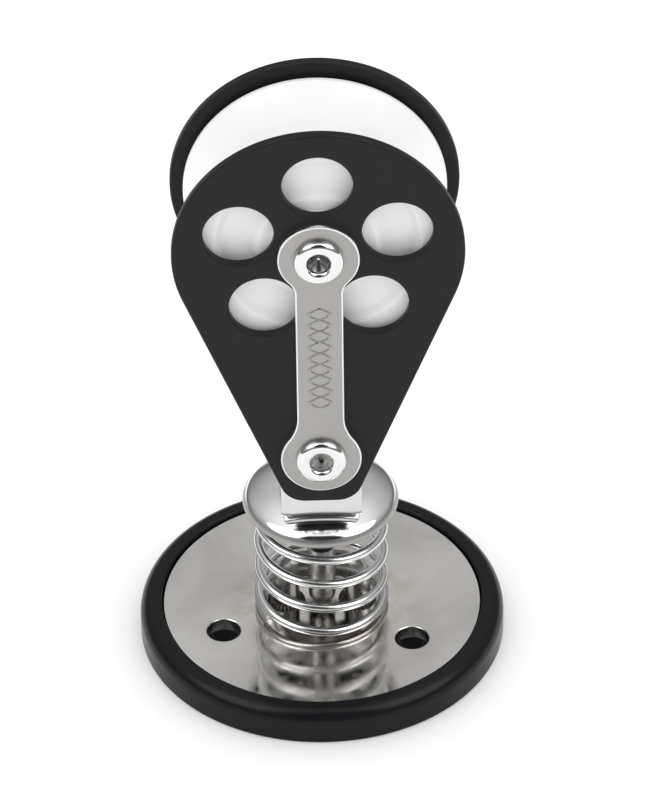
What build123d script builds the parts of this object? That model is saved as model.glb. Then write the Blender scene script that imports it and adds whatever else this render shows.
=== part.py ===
"""Spring stand-up block: one wide sheave on a round deck base.

Frame: origin at the middle of the base pad's underside, +Z up, sheave axle along Y, millimetres.
Each function makes one piece in its place; the bottom of the file writes one STEP file per piece.
"""
from build123d import *
from math import acos, asin, atan2, cos, degrees, hypot, pi, radians, sin, sqrt
import os

# ---- Driving dimensions: base -------------------------------------------------------------
PAD_FLOOR = 4.4              # pad under the plate
PAD_LIP = 0.9                # pad stands above the plate's top by this
PAD_SHOULDER = 3.4           # rounding of the pad's upper outer edge
PAD_FOOT_CHAMFER = 0.6
PLATE_RADIUS = 35.8
PLATE_THICKNESS = 3.0
PLATE_CHAMFER = 0.4
PLATE_FIT = 0.25             # radial gap round the plate in the pad
PAD_WALL = 4.85              # moulded wall round the plate
BOLT_CIRCLE_RADIUS = 24.4
BOLT_HOLE_RADIUS = 3.75      # clears a quarter-inch screw
BOLT_HOLE_COUNT = 3
BOLT_HOLE_ANGLE = 84.0       # first hole, degrees from +X
PAD_HOLE_EXTRA = 0.35        # pad holes are wider than the plate's by this

# ---- Driving dimensions: pad eye, shackle and swivel post ---------------------------------
EYE_BAR = 6.0                # pad-eye bar diameter
EYE_BEND = 4.5               # pad-eye corner, to the bar's centre line
WELD_WIDTH = 1.3             # weld bead at each foot
SHACKLE_BAR = 6.0            # shackle bar diameter
BOW_TO_PLATE = 1.4           # free height under the bow
BOW_SIDE_GAP = 0.7           # bow to weld bead
SHACKLE_EAR_RADIUS = 4.0
EAR_CHAMFER = 0.5
EAR_SWELL = 0.2              # ears are forged thicker than the bar, each side
LEG_LAP = 1.2                # legs run into their ears by this
SHACKLE_PIN_RADIUS = 2.5
SHACKLE_PIN_HEAD_RADIUS = 3.6
SHACKLE_PIN_HEAD = 1.4
SHACKLE_PIN_TAIL = 1.9       # pin past the ear, for its ring
RING_THICKNESS = 0.8
RING_RADIUS = 3.6
RING_GROOVE_RADIUS = 2.0
RING_OPENING = 50.0          # degrees left open
LUG_RADIUS = 4.0             # eye at the post's foot
LUG_TO_BAR = 7.7             # free height between the lug and the pad eye
POST_NECK_RADIUS = 3.4
EAR_TO_NECK = 0.5            # free height between the shackle ears and the post's round neck
POST_RADIUS = 3.175          # quarter-inch swivel shank
COLLAR_RADIUS = 6.2
COLLAR_HEIGHT = 1.5
POST_TIP = 0.6               # shank past the nut
POST_TIP_CHAMFER = 0.5
SWIVEL_WASHER_RADIUS = 6.6
SWIVEL_WASHER_THICKNESS = 1.0
NUT_ACROSS_FLATS = 11.1
NUT_HEIGHT = 4.4
NUT_CROWN_ANGLE = 30.0

# ---- Driving dimensions: spring and cup ---------------------------------------------------
SPRING_RADIUS = 14.0         # to the wire's centre
SPRING_WIRE = 2.1
SPRING_ACTIVE_TURNS = 3.9
SPRING_DEAD_TURNS = 0.8      # nearly flat turn at each end
SPRING_COIL_GAP = 0.12       # between a flat turn and the coil that passes over its end
SPRING_START_ANGLE = 208.0   # cut end at the plate, degrees from +X
CUP_TOP = 3.8                # cup's flat top above the start of the post's round neck
CUP_THICKNESS = 1.6
CUP_FLAT_RADIUS = 8.35
CUP_DOME_RADIUS = 15.7
CUP_ROLL_RADIUS = 3.2        # rolled edge, outside
CUP_ROLL_END = 78.0          # degrees from straight up where the roll stops
CUP_OVERHANG = 2.35          # rim past the spring's outside

# ---- Driving dimensions: block ------------------------------------------------------------
SHEAVE_RADIUS = 28.575       # two and a quarter inches across
SHEAVE_WIDTH = 22.2
GROOVE_DEPTH = 3.0
RIM_LAND = 1.2               # flat beside the groove
RIM_CHAMFER = 0.5
HUB_RADIUS = 12.4            # raised hub face
RIM_HEIGHT = 5.775           # rim left outside the side recess
RECESS_DEPTH = 1.2
RECESS_DRAFT = 2.4
SLEEVE_RADIUS = 6.35         # half-inch fixed inner sleeve
BUSHING_RADIUS = 8.0
THRUST_WASHER_RADIUS = 10.0
THRUST_WASHER_THICKNESS = 1.0
AXLE_RADIUS = 3.97           # five-sixteenths pins
PIN_HEAD_RADIUS = 5.5
PIN_HEAD_HEIGHT = 1.9
PIN_HEAD_ROUND = 0.9
PIN_DIMPLE_RADIUS = 2.7
PIN_DIMPLE_FLOOR_RADIUS = 2.2
PIN_DIMPLE_DEPTH = 1.3
CHEEK_MARGIN = 2.85          # cheeks reach past the sheave by this
CHEEK_THICKNESS = 2.4
CHEEK_EDGE_ROUND = 0.6
CHEEK_FOOT_HALF_WIDTH = 7.35 # where the straight sides meet the flat foot
CHEEK_FOOT_ROUND = 5.5
CHEEK_TAIL = 13.2            # foot below the head pin
WINDOW_RADIUS = 7.4          # five lightening holes
WINDOW_EDGE_ROUND = 0.8
WINDOW_CIRCLE_RADIUS = 17.9
WINDOW_ANGLES = (0.0, 71.7, 139.0, -139.0, -71.7)   # from the top
STRAP_EYE_RADIUS = 8.9
STRAP_SHANK_WIDTH = 10.4
STRAP_TOP_NECK = 4.5         # concave rounding where the shank meets the upper eye
STRAP_FOOT_NECK = 10.0       # the same at the lower eye
STRAP_THICKNESS = 1.7
STRAP_CHAMFER = 0.3
PIN_SPACING = 54.1           # axle above the head pin
YOKE_THICKNESS = 2.5
YOKE_HALF_WIDTH = 8.9
YOKE_BEND = 1.6              # inside corner
YOKE_CORNER = 1.2            # outside corner
HEAD_PIN_RISE = 19.7         # head pin above the yoke's underside
SPACER_RADIUS = 5.5

# ---- Clearances ---------------------------------------------------------------------------
PIN_FIT = 0.03               # radial, parts that don't turn on each other
RUNNING_FIT = 0.06           # radial, parts that turn on each other
SIDE_PLAY = 0.10             # along an axis, parts that turn on each other
BOW_FIT = 0.10               # radial, shackle round the pad eye
FACE_PLAY = 0.05             # swivel faces

# ---- Levels and places worked out from the dimensions -------------------------------------
plate_top = PAD_FLOOR + PLATE_THICKNESS
pad_radius = PLATE_RADIUS + PLATE_FIT + PAD_WALL
bow_radius = EYE_BAR / 2 + BOW_FIT + SHACKLE_BAR / 2
eye_z = plate_top + bow_radius + SHACKLE_BAR / 2 + BOW_TO_PLATE
eye_leg_x = SHACKLE_BAR / 2 + BOW_SIDE_GAP + WELD_WIDTH + EYE_BAR / 2
shackle_pin_z = eye_z + EYE_BAR / 2 + LUG_TO_BAR + LUG_RADIUS
shackle_inner_y = EYE_BAR / 2 + BOW_FIT
shackle_outer_y = shackle_inner_y + SHACKLE_BAR
ear_inner_y = shackle_inner_y - EAR_SWELL
ear_outer_y = shackle_outer_y + EAR_SWELL
leg_end_z = shackle_pin_z - SHACKLE_EAR_RADIUS + LEG_LAP
lug_half = ear_inner_y - SIDE_PLAY
neck_z = shackle_pin_z + SHACKLE_EAR_RADIUS + EAR_TO_NECK
cup_top_z = neck_z + CUP_TOP
spring_base_z = plate_top + SPRING_WIRE / 2 + FACE_PLAY
cup_radius = SPRING_RADIUS + SPRING_WIRE / 2 + CUP_OVERHANG
yoke_z = cup_top_z + FACE_PLAY
web_top_z = yoke_z + YOKE_THICKNESS
washer_z = web_top_z + FACE_PLAY
nut_z = washer_z + SWIVEL_WASHER_THICKNESS
collar_z = cup_top_z - CUP_THICKNESS - COLLAR_HEIGHT
ring_y = ear_outer_y + FACE_PLAY
head_pin_z = yoke_z + HEAD_PIN_RISE
axle_z = head_pin_z + PIN_SPACING
cheek_radius = SHEAVE_RADIUS + CHEEK_MARGIN
half_gap = SHEAVE_WIDTH / 2 + SIDE_PLAY + THRUST_WASHER_THICKNESS
cheek_outer_y = half_gap + CHEEK_THICKNESS
strap_outer_y = cheek_outer_y + STRAP_THICKNESS
EXTRA = 1.0                  # overshoot of cutting tools
SAME_SIZE = 0.001            # for picking edges by their radius
BLADE_LAP = 0.5              # post's flat blade runs into its round neck by this


# ---- Helpers ------------------------------------------------------------------------------
def disc(radius, height, z=0.0):
    """Cylinder standing on height z."""
    return Pos(0, 0, z) * Cylinder(radius, height, align=(Align.CENTER, Align.CENTER, Align.MIN))


def tube(outer, inner, height, z=0.0):
    """Plain ring standing on height z."""
    return disc(outer, height, z) - disc(inner, height + 2 * EXTRA, z - EXTRA)


def across(shape, z, x=0.0):
    """Lay a shape made about Z along Y, at height z."""
    return Pos(x, 0, z) * Rot(-90, 0, 0) * shape


def slab(outline, y_front, y_rear):
    """Fill y_front to y_rear with an outline drawn in X and Z."""
    return Pos(0, y_rear, 0) * extrude(Plane.XZ * outline, amount=y_rear - y_front)


def outline_face(*edges):
    """Closed face from edges that meet end to end."""
    return make_face(Wire(list(edges)))


def turned(*edges):
    """Turn a profile drawn as X = radius, Y = height about the Z axis."""
    return revolve(Plane.XZ * outline_face(*edges), Axis.Z)


def chain(points):
    """Straight edges through a list of points."""
    return [Line(a, b) for a, b in zip(points, points[1:])]


# ---- Base ---------------------------------------------------------------------------------
def bolt_holes(radius):
    """Cutting tools for the base's ring of screw holes."""
    tool = disc(radius, plate_top + 2 * EXTRA, -EXTRA)
    return [
        Rot(0, 0, BOLT_HOLE_ANGLE + 360 / BOLT_HOLE_COUNT * i) * Pos(BOLT_CIRCLE_RADIUS, 0, 0) * tool
        for i in range(BOLT_HOLE_COUNT)
    ]


def make_base_pad():
    pad = disc(pad_radius, plate_top + PAD_LIP)
    pad = fillet(pad.edges().group_by(Axis.Z)[-1], PAD_SHOULDER)
    pad = chamfer(pad.edges().group_by(Axis.Z)[0], PAD_FOOT_CHAMFER)
    pad -= disc(PLATE_RADIUS + PLATE_FIT, PLATE_THICKNESS + PAD_LIP + EXTRA, PAD_FLOOR)
    return pad - bolt_holes(BOLT_HOLE_RADIUS + PAD_HOLE_EXTRA)


def make_base_plate():
    plate = disc(PLATE_RADIUS, PLATE_THICKNESS, PAD_FLOOR)
    plate = chamfer(plate.edges().group_by(Axis.Z)[-1], PLATE_CHAMFER)
    return plate - bolt_holes(BOLT_HOLE_RADIUS)


def make_pad_eye():
    straight_x = eye_leg_x - EYE_BEND
    bend_z = eye_z - EYE_BEND
    half_root = EYE_BEND * sin(pi / 4)
    path = Wire([
        Line((-eye_leg_x, 0, plate_top), (-eye_leg_x, 0, bend_z)),
        ThreePointArc((-eye_leg_x, 0, bend_z),
                      (-straight_x - half_root, 0, bend_z + half_root), (-straight_x, 0, eye_z)),
        Line((-straight_x, 0, eye_z), (straight_x, 0, eye_z)),
        ThreePointArc((straight_x, 0, eye_z),
                      (straight_x + half_root, 0, bend_z + half_root), (eye_leg_x, 0, bend_z)),
        Line((eye_leg_x, 0, bend_z), (eye_leg_x, 0, plate_top)),
    ])
    section = Plane(origin=(-eye_leg_x, 0, plate_top), z_dir=(0, 0, 1)) * Circle(EYE_BAR / 2)
    return sweep(section, path=path)


def make_pad_eye_welds():
    foot = EYE_BAR / 2
    bulge = WELD_WIDTH * sin(pi / 4)
    bead = turned(
        Line((foot, 0), (foot + WELD_WIDTH, 0)),
        ThreePointArc((foot + WELD_WIDTH, 0), (foot + bulge, bulge),
                      (foot, WELD_WIDTH)),
        Line((foot, WELD_WIDTH), (foot, 0)),
    )
    return [Pos(x, 0, plate_top) * bead for x in (-eye_leg_x, eye_leg_x)]


# ---- Shackle and swivel post --------------------------------------------------------------
def make_shackle_bow():
    path = Wire([
        Line((0, -bow_radius, leg_end_z), (0, -bow_radius, eye_z)),
        ThreePointArc((0, -bow_radius, eye_z), (0, 0, eye_z - bow_radius), (0, bow_radius, eye_z)),
        Line((0, bow_radius, eye_z), (0, bow_radius, leg_end_z)),
    ])
    section = Plane(origin=(0, -bow_radius, leg_end_z), z_dir=(0, 0, -1)) * Circle(SHACKLE_BAR / 2)
    bow = sweep(section, path=path)
    ear = disc(SHACKLE_EAR_RADIUS, ear_outer_y - ear_inner_y, ear_inner_y)
    ear = across(chamfer(ear.edges().filter_by(GeomType.CIRCLE), EAR_CHAMFER), shackle_pin_z)
    bow += ear
    bow += mirror(ear, Plane.XZ)
    reach = ear_outer_y + EXTRA
    return bow - across(disc(SHACKLE_PIN_RADIUS + PIN_FIT, 2 * reach, -reach), shackle_pin_z)


def make_shackle_pin():
    pin = disc(SHACKLE_PIN_RADIUS, ear_outer_y + ring_y + SHACKLE_PIN_TAIL, -ear_outer_y)
    pin = chamfer(pin.edges().group_by(Axis.Z)[-1], EAR_CHAMFER)
    head = disc(SHACKLE_PIN_HEAD_RADIUS, SHACKLE_PIN_HEAD, -ear_outer_y - SHACKLE_PIN_HEAD)
    pin += fillet(head.edges().group_by(Axis.Z)[0], SHACKLE_PIN_HEAD / 2)
    groove = tube(SHACKLE_PIN_RADIUS + EXTRA, RING_GROOVE_RADIUS, RING_THICKNESS, ring_y)
    return across(pin - groove, shackle_pin_z)


def make_shackle_ring():
    """Open retaining ring that snaps into the pin's groove."""
    ring = tube(RING_RADIUS, RING_GROOVE_RADIUS, RING_THICKNESS, ring_y)
    half_open = radians(RING_OPENING / 2)
    corner_x = 2 * RING_RADIUS * cos(half_open)
    corner_y = 2 * RING_RADIUS * sin(half_open)
    wedge = outline_face(*chain([(0, 0), (corner_x, -corner_y), (corner_x, corner_y), (0, 0)]))
    opening = Pos(0, 0, ring_y - EXTRA) * extrude(wedge, RING_THICKNESS + 2 * EXTRA)
    return across(Rot(0, 0, 90) * (ring - opening), shackle_pin_z)


def make_swivel_post():
    lug = disc(LUG_RADIUS, 2 * lug_half, -lug_half)
    lug = chamfer(lug.edges().filter_by(GeomType.CIRCLE), EAR_CHAMFER)
    post = across(lug, shackle_pin_z)
    blade = Box(2 * POST_NECK_RADIUS, 2 * lug_half, neck_z + BLADE_LAP - shackle_pin_z,
                align=(Align.CENTER, Align.CENTER, Align.MIN))
    post += Pos(0, 0, shackle_pin_z) * blade
    post += disc(POST_NECK_RADIUS, collar_z - neck_z, neck_z)
    post += disc(COLLAR_RADIUS, COLLAR_HEIGHT, collar_z)
    tip_z = nut_z + NUT_HEIGHT + POST_TIP
    shank = disc(POST_RADIUS, tip_z - collar_z, collar_z)
    post += chamfer(shank.edges().group_by(Axis.Z)[-1], POST_TIP_CHAMFER)
    bore = disc(SHACKLE_PIN_RADIUS + RUNNING_FIT, 2 * lug_half + 2 * EXTRA, -lug_half - EXTRA)
    return post - across(bore, shackle_pin_z)


def make_swivel_washer():
    return tube(SWIVEL_WASHER_RADIUS, POST_RADIUS + PIN_FIT, SWIVEL_WASHER_THICKNESS, washer_z)


def make_swivel_nut():
    across_corners = NUT_ACROSS_FLATS / cos(pi / 6)
    hexagon = RegularPolygon(across_corners / 2, 6)
    nut = Pos(0, 0, nut_z) * extrude(hexagon, NUT_HEIGHT)
    crown_drop = (across_corners - NUT_ACROSS_FLATS) / 2
    crown_fall = crown_drop * sin(radians(NUT_CROWN_ANGLE))
    crown = disc(across_corners / 2, NUT_HEIGHT, nut_z)
    crown = chamfer(crown.edges().group_by(Axis.Z)[-1], crown_fall, crown_drop)
    return (nut & crown) - disc(POST_RADIUS, NUT_HEIGHT + 2 * EXTRA, nut_z - EXTRA)


# ---- Spring and cup -----------------------------------------------------------------------
def arc_point(centre, radius, angle):
    """Point of an arc; angle is degrees from straight up."""
    return (centre[0] + radius * sin(radians(angle)), centre[1] + radius * cos(radians(angle)))


def make_spring_cup():
    """Flat seat, shallow dome and a rolled edge with a full round at its end."""
    dome = (CUP_FLAT_RADIUS, cup_top_z - CUP_DOME_RADIUS)
    roll_reach = (cup_radius - CUP_FLAT_RADIUS - CUP_ROLL_RADIUS) / (CUP_DOME_RADIUS - CUP_ROLL_RADIUS)
    meet = degrees(asin(roll_reach))
    roll = arc_point(dome, CUP_DOME_RADIUS - CUP_ROLL_RADIUS, meet)
    dome_inside = CUP_DOME_RADIUS - CUP_THICKNESS
    roll_inside = CUP_ROLL_RADIUS - CUP_THICKNESS
    roll_middle = (meet + CUP_ROLL_END) / 2
    lip_middle = arc_point(roll, CUP_ROLL_RADIUS - CUP_THICKNESS / 2, CUP_ROLL_END)
    lip = arc_point(lip_middle, CUP_THICKNESS / 2, CUP_ROLL_END + 90)
    hole = POST_RADIUS + PIN_FIT
    under_z = cup_top_z - CUP_THICKNESS
    return turned(
        Line((hole, under_z), (hole, cup_top_z)),
        Line((hole, cup_top_z), (CUP_FLAT_RADIUS, cup_top_z)),
        ThreePointArc((CUP_FLAT_RADIUS, cup_top_z), arc_point(dome, CUP_DOME_RADIUS, meet / 2),
                      arc_point(dome, CUP_DOME_RADIUS, meet)),
        ThreePointArc(arc_point(roll, CUP_ROLL_RADIUS, meet), arc_point(roll, CUP_ROLL_RADIUS, roll_middle),
                      arc_point(roll, CUP_ROLL_RADIUS, CUP_ROLL_END)),
        ThreePointArc(arc_point(roll, CUP_ROLL_RADIUS, CUP_ROLL_END), lip,
                      arc_point(roll, roll_inside, CUP_ROLL_END)),
        ThreePointArc(arc_point(roll, roll_inside, CUP_ROLL_END), arc_point(roll, roll_inside, roll_middle),
                      arc_point(roll, roll_inside, meet)),
        ThreePointArc(arc_point(dome, dome_inside, meet), arc_point(dome, dome_inside, meet / 2),
                      (CUP_FLAT_RADIUS, under_z)),
        Line((CUP_FLAT_RADIUS, under_z), (hole, under_z)),
    )


def spring_top_z():
    """Wire centre height where the last turn seats inside the dome."""
    seat = CUP_DOME_RADIUS - CUP_THICKNESS - SPRING_WIRE / 2
    offset = SPRING_RADIUS - CUP_FLAT_RADIUS
    return cup_top_z - CUP_DOME_RADIUS + sqrt(seat * seat - offset * offset) - FACE_PLAY


def spring_stretches():
    """Turns and rise of the first flat turn, the active coil and the last flat turn."""
    length = spring_top_z() - spring_base_z
    open_part = 1 - SPRING_DEAD_TURNS
    lift = SPRING_WIRE + SPRING_COIL_GAP - open_part * length / SPRING_ACTIVE_TURNS
    flat_rise = lift / (1 - 2 * open_part / SPRING_ACTIVE_TURNS)
    return (
        (SPRING_DEAD_TURNS, flat_rise),
        (SPRING_ACTIVE_TURNS, length - 2 * flat_rise),
        (SPRING_DEAD_TURNS, flat_rise),
    )


def make_return_spring():
    """Left-hand coil with a nearly flat turn at each end."""
    z = spring_base_z
    angle = SPRING_START_ANGLE
    edges = []
    for turns, rise in spring_stretches():
        helix = Helix(pitch=rise / turns, height=rise, radius=SPRING_RADIUS, lefthand=True)
        edges += (Pos(0, 0, z) * Rot(0, 0, angle) * helix).edges()
        z += rise
        angle -= 360 * turns
    path = Wire(edges)
    section = Plane(origin=path @ 0, z_dir=path % 0) * Circle(SPRING_WIRE / 2)
    return sweep(section, path=path, is_frenet=True, transition=Transition.TRANSFORMED)


# ---- Block --------------------------------------------------------------------------------
def cheek_outline():
    """Round top about the axle, straight sides down to a flat foot with round corners."""
    foot = -(PIN_SPACING + CHEEK_TAIL)
    reach = hypot(CHEEK_FOOT_HALF_WIDTH, foot)
    lean = atan2(CHEEK_FOOT_HALF_WIDTH, -foot) + acos(cheek_radius / reach)
    touch_x = cheek_radius * sin(lean)
    touch_z = -cheek_radius * cos(lean)
    outline = outline_face(
        ThreePointArc((-touch_x, touch_z), (0, cheek_radius), (touch_x, touch_z)),
        Line((touch_x, touch_z), (CHEEK_FOOT_HALF_WIDTH, foot)),
        Line((CHEEK_FOOT_HALF_WIDTH, foot), (-CHEEK_FOOT_HALF_WIDTH, foot)),
        Line((-CHEEK_FOOT_HALF_WIDTH, foot), (-touch_x, touch_z)),
    )
    return fillet(outline.vertices().group_by(Axis.Y)[0], CHEEK_FOOT_ROUND)


def make_cheek(front):
    holes = [Circle(AXLE_RADIUS + PIN_FIT), Pos(0, -PIN_SPACING) * Circle(AXLE_RADIUS + PIN_FIT)]
    for angle in WINDOW_ANGLES:
        place = Rot(0, 0, -angle) * Pos(0, WINDOW_CIRCLE_RADIUS)
        holes.append(place * Circle(WINDOW_RADIUS))
    cheek = slab(cheek_outline() - holes, -cheek_outer_y, -half_gap)
    for side in (0, -1):
        cheek = fillet(cheek.faces().sort_by(Axis.Y)[side].outer_wire().edges(), CHEEK_EDGE_ROUND)
    rims = [
        edge for edge in cheek.edges().filter_by(GeomType.CIRCLE)
        if abs(edge.radius - WINDOW_RADIUS) < SAME_SIZE
    ]
    cheek = fillet(rims, WINDOW_EDGE_ROUND)
    cheek = Pos(0, 0, axle_z) * cheek
    return cheek if front else mirror(cheek, Plane.XZ)


def strap_eye(eye_z, up, neck_radius):
    """One round eye with its two concave necks, and the height where the shank starts."""
    half = STRAP_SHANK_WIDTH / 2
    neck_x = half + neck_radius
    neck_drop = sqrt((STRAP_EYE_RADIUS + neck_radius) ** 2 - neck_x ** 2)
    share = STRAP_EYE_RADIUS / (STRAP_EYE_RADIUS + neck_radius)
    touch_x = neck_x * share
    touch_drop = neck_drop * share
    lean = atan2(neck_drop, neck_x) / 2
    bulge_x = neck_x - neck_radius * cos(lean)
    bulge_drop = neck_drop - neck_radius * sin(lean)

    def at(x, drop):
        return (x, eye_z - up * drop)

    edges = [
        ThreePointArc(at(-half, neck_drop), at(-bulge_x, bulge_drop), at(-touch_x, touch_drop)),
        ThreePointArc(at(-touch_x, touch_drop), at(0, -STRAP_EYE_RADIUS), at(touch_x, touch_drop)),
        ThreePointArc(at(touch_x, touch_drop), at(bulge_x, bulge_drop), at(half, neck_drop)),
    ]
    return edges, eye_z - up * neck_drop


def strap_outline():
    """Dog-bone: two round eyes joined by a narrower shank through concave necks."""
    half = STRAP_SHANK_WIDTH / 2
    top_edges, top_z = strap_eye(0, 1, STRAP_TOP_NECK)
    foot_edges, foot_z = strap_eye(-PIN_SPACING, -1, STRAP_FOOT_NECK)
    return outline_face(
        *top_edges, Line((half, top_z), (half, foot_z)),
        *foot_edges, Line((-half, foot_z), (-half, top_z)),
    )


def make_strap(front):
    hole = Circle(AXLE_RADIUS + PIN_FIT)
    strap = slab(strap_outline() - hole - Pos(0, -PIN_SPACING) * hole, -strap_outer_y, -cheek_outer_y)
    strap = chamfer(strap.faces().sort_by(Axis.Y)[0].outer_wire().edges(), STRAP_CHAMFER)
    strap = Pos(0, 0, axle_z) * strap
    return strap if front else mirror(strap, Plane.XZ)


def make_swaged_pin(z):
    """Pin through the straps with a formed head and a drilled dimple at each end."""
    shaft = disc(AXLE_RADIUS, 2 * strap_outer_y, -strap_outer_y)
    head = disc(PIN_HEAD_RADIUS, PIN_HEAD_HEIGHT, strap_outer_y)
    head = fillet(head.edges().group_by(Axis.Z)[-1], PIN_HEAD_ROUND)
    top = strap_outer_y + PIN_HEAD_HEIGHT
    dimple = Pos(0, 0, top - PIN_DIMPLE_DEPTH / 2) * Cone(
        PIN_DIMPLE_FLOOR_RADIUS, PIN_DIMPLE_RADIUS, PIN_DIMPLE_DEPTH)
    head -= dimple
    return across(shaft + head + mirror(head, Plane.XY), z)


def make_axle_sleeve():
    return across(tube(SLEEVE_RADIUS, AXLE_RADIUS + PIN_FIT, 2 * half_gap, -half_gap), axle_z)


def make_sheave_bushing():
    half = SHEAVE_WIDTH / 2
    return across(tube(BUSHING_RADIUS, SLEEVE_RADIUS + RUNNING_FIT, SHEAVE_WIDTH, -half), axle_z)


def make_sheave():
    half = SHEAVE_WIDTH / 2
    groove_half = half - RIM_LAND
    floor = half - RECESS_DEPTH
    rim_inside = SHEAVE_RADIUS - RIM_HEIGHT
    side = [
        (BUSHING_RADIUS, half),
        (HUB_RADIUS, half),
        (HUB_RADIUS + RECESS_DRAFT, floor),
        (rim_inside - RECESS_DRAFT, floor),
        (rim_inside, half),
        (SHEAVE_RADIUS - RIM_CHAMFER, half),
        (SHEAVE_RADIUS, half - RIM_CHAMFER),
        (SHEAVE_RADIUS, groove_half),
    ]
    other = [(r, -y) for r, y in reversed(side)]
    groove = ThreePointArc(side[-1], (SHEAVE_RADIUS - GROOVE_DEPTH, 0), other[0])
    return across(turned(*chain(side), groove, *chain(other + side[:1])), axle_z)


def make_thrust_washer(front):
    washer = tube(THRUST_WASHER_RADIUS, SLEEVE_RADIUS + PIN_FIT, THRUST_WASHER_THICKNESS,
                  half_gap - THRUST_WASHER_THICKNESS)
    washer = across(washer, axle_z)
    return mirror(washer, Plane.XZ) if front else washer


def make_head_yoke():
    height = HEAD_PIN_RISE + YOKE_HALF_WIDTH
    outer = Pos(0, 0, yoke_z) * Box(2 * YOKE_HALF_WIDTH, 2 * half_gap, height,
                                    align=(Align.CENTER, Align.CENTER, Align.MIN))
    outer = fillet(outer.edges().filter_by(Axis.X).group_by(Axis.Z)[0], YOKE_CORNER)
    inner = Pos(0, 0, web_top_z) * Box(
        2 * YOKE_HALF_WIDTH + 2 * EXTRA, 2 * (half_gap - YOKE_THICKNESS), height,
        align=(Align.CENTER, Align.CENTER, Align.MIN))
    inner = fillet(inner.edges().filter_by(Axis.X).group_by(Axis.Z)[0], YOKE_BEND)
    side = Pos(0, head_pin_z) * Circle(YOKE_HALF_WIDTH)
    side += Pos(0, (yoke_z + head_pin_z) / 2) * Rectangle(2 * YOKE_HALF_WIDTH, HEAD_PIN_RISE)
    yoke = (outer - inner) & slab(side, -half_gap - EXTRA, half_gap + EXTRA)
    reach = half_gap + EXTRA
    yoke -= across(disc(AXLE_RADIUS + PIN_FIT, 2 * reach, -reach), head_pin_z)
    return yoke - disc(POST_RADIUS + RUNNING_FIT, YOKE_THICKNESS + 2 * EXTRA, yoke_z - EXTRA)


def make_head_spacer():
    half = half_gap - YOKE_THICKNESS
    return across(tube(SPACER_RADIUS, AXLE_RADIUS + PIN_FIT, 2 * half, -half), head_pin_z)


# ---- Write every piece --------------------------------------------------------------------
PIECES = {
    "base_pad": make_base_pad(),
    "base_plate": make_base_plate(),
    "pad_eye": make_pad_eye(),
    "pad_eye_welds": Compound(children=make_pad_eye_welds()),
    "shackle_bow": make_shackle_bow(),
    "shackle_pin": make_shackle_pin(),
    "shackle_ring": make_shackle_ring(),
    "swivel_post": make_swivel_post(),
    "swivel_washer": make_swivel_washer(),
    "swivel_nut": make_swivel_nut(),
    "spring_cup": make_spring_cup(),
    "return_spring": make_return_spring(),
    "head_yoke": make_head_yoke(),
    "head_spacer": make_head_spacer(),
    "head_pin": make_swaged_pin(head_pin_z),
    "cheek_front": make_cheek(front=True),
    "cheek_rear": make_cheek(front=False),
    "strap_front": make_strap(front=True),
    "strap_rear": make_strap(front=False),
    "axle_pin": make_swaged_pin(axle_z),
    "axle_sleeve": make_axle_sleeve(),
    "thrust_washer_front": make_thrust_washer(front=True),
    "thrust_washer_rear": make_thrust_washer(front=False),
    "sheave": make_sheave(),
    "sheave_bushing": make_sheave_bushing(),
}

os.makedirs("parts", exist_ok=True)
for name, piece in PIECES.items():
    export_step(piece, f"parts/{name}.step")
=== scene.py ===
"""Looks of the spring stand-up block: finished surfaces round the fixed CAD frame, in metres."""
import bpy
import bmesh
from math import acos, asin, atan2, cos, hypot, pi, radians, sin, sqrt, tan, tau
from mathutils import Euler, Matrix, Vector


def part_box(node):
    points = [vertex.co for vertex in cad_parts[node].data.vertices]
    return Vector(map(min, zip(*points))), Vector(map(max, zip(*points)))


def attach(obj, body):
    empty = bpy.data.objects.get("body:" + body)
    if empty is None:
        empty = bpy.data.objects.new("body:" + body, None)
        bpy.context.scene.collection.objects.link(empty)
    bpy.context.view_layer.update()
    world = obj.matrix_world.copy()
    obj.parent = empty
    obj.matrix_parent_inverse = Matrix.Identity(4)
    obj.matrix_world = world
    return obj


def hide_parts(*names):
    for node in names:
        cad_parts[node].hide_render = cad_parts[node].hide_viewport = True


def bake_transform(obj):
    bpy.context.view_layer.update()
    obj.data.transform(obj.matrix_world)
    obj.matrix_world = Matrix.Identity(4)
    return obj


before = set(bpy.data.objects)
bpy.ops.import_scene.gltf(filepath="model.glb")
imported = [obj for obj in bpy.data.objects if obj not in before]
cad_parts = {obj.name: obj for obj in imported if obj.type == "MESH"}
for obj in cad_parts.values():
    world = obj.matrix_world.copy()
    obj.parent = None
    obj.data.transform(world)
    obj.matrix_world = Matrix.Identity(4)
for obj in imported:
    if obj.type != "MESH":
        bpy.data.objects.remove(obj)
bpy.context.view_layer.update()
MM = 0.001
X, Y, Z = Vector((1, 0, 0)), Vector((0, 1, 0)), Vector((0, 0, 1))

# ---- Places taken from the frame ----------------------------------------------------------
PLATE_LOW, PLATE_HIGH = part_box("base_plate")
PAD_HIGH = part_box("base_pad")[1]
CHEEK_LOW, CHEEK_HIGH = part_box("cheek_front")
STRAP_LOW, STRAP_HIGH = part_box("strap_front")
AXLE_LOW, AXLE_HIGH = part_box("axle_pin")
HEAD_LOW, HEAD_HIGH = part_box("head_pin")
SHEAVE_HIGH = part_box("sheave")[1]
CUP_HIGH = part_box("spring_cup")[1]
SPRING_LOW, SPRING_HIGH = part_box("return_spring")
YOKE_LOW, YOKE_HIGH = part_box("head_yoke")
EYE_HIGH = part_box("pad_eye")[1]
BOW_LOW, BOW_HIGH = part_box("shackle_bow")
SHACKLE_PIN_LOW, SHACKLE_PIN_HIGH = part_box("shackle_pin")
RING_LOW, RING_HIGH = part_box("shackle_ring")
POST_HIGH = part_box("swivel_post")[1]
WASHER_LOW, WASHER_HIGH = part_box("swivel_washer")
NUT_LOW, NUT_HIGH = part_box("swivel_nut")
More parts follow.
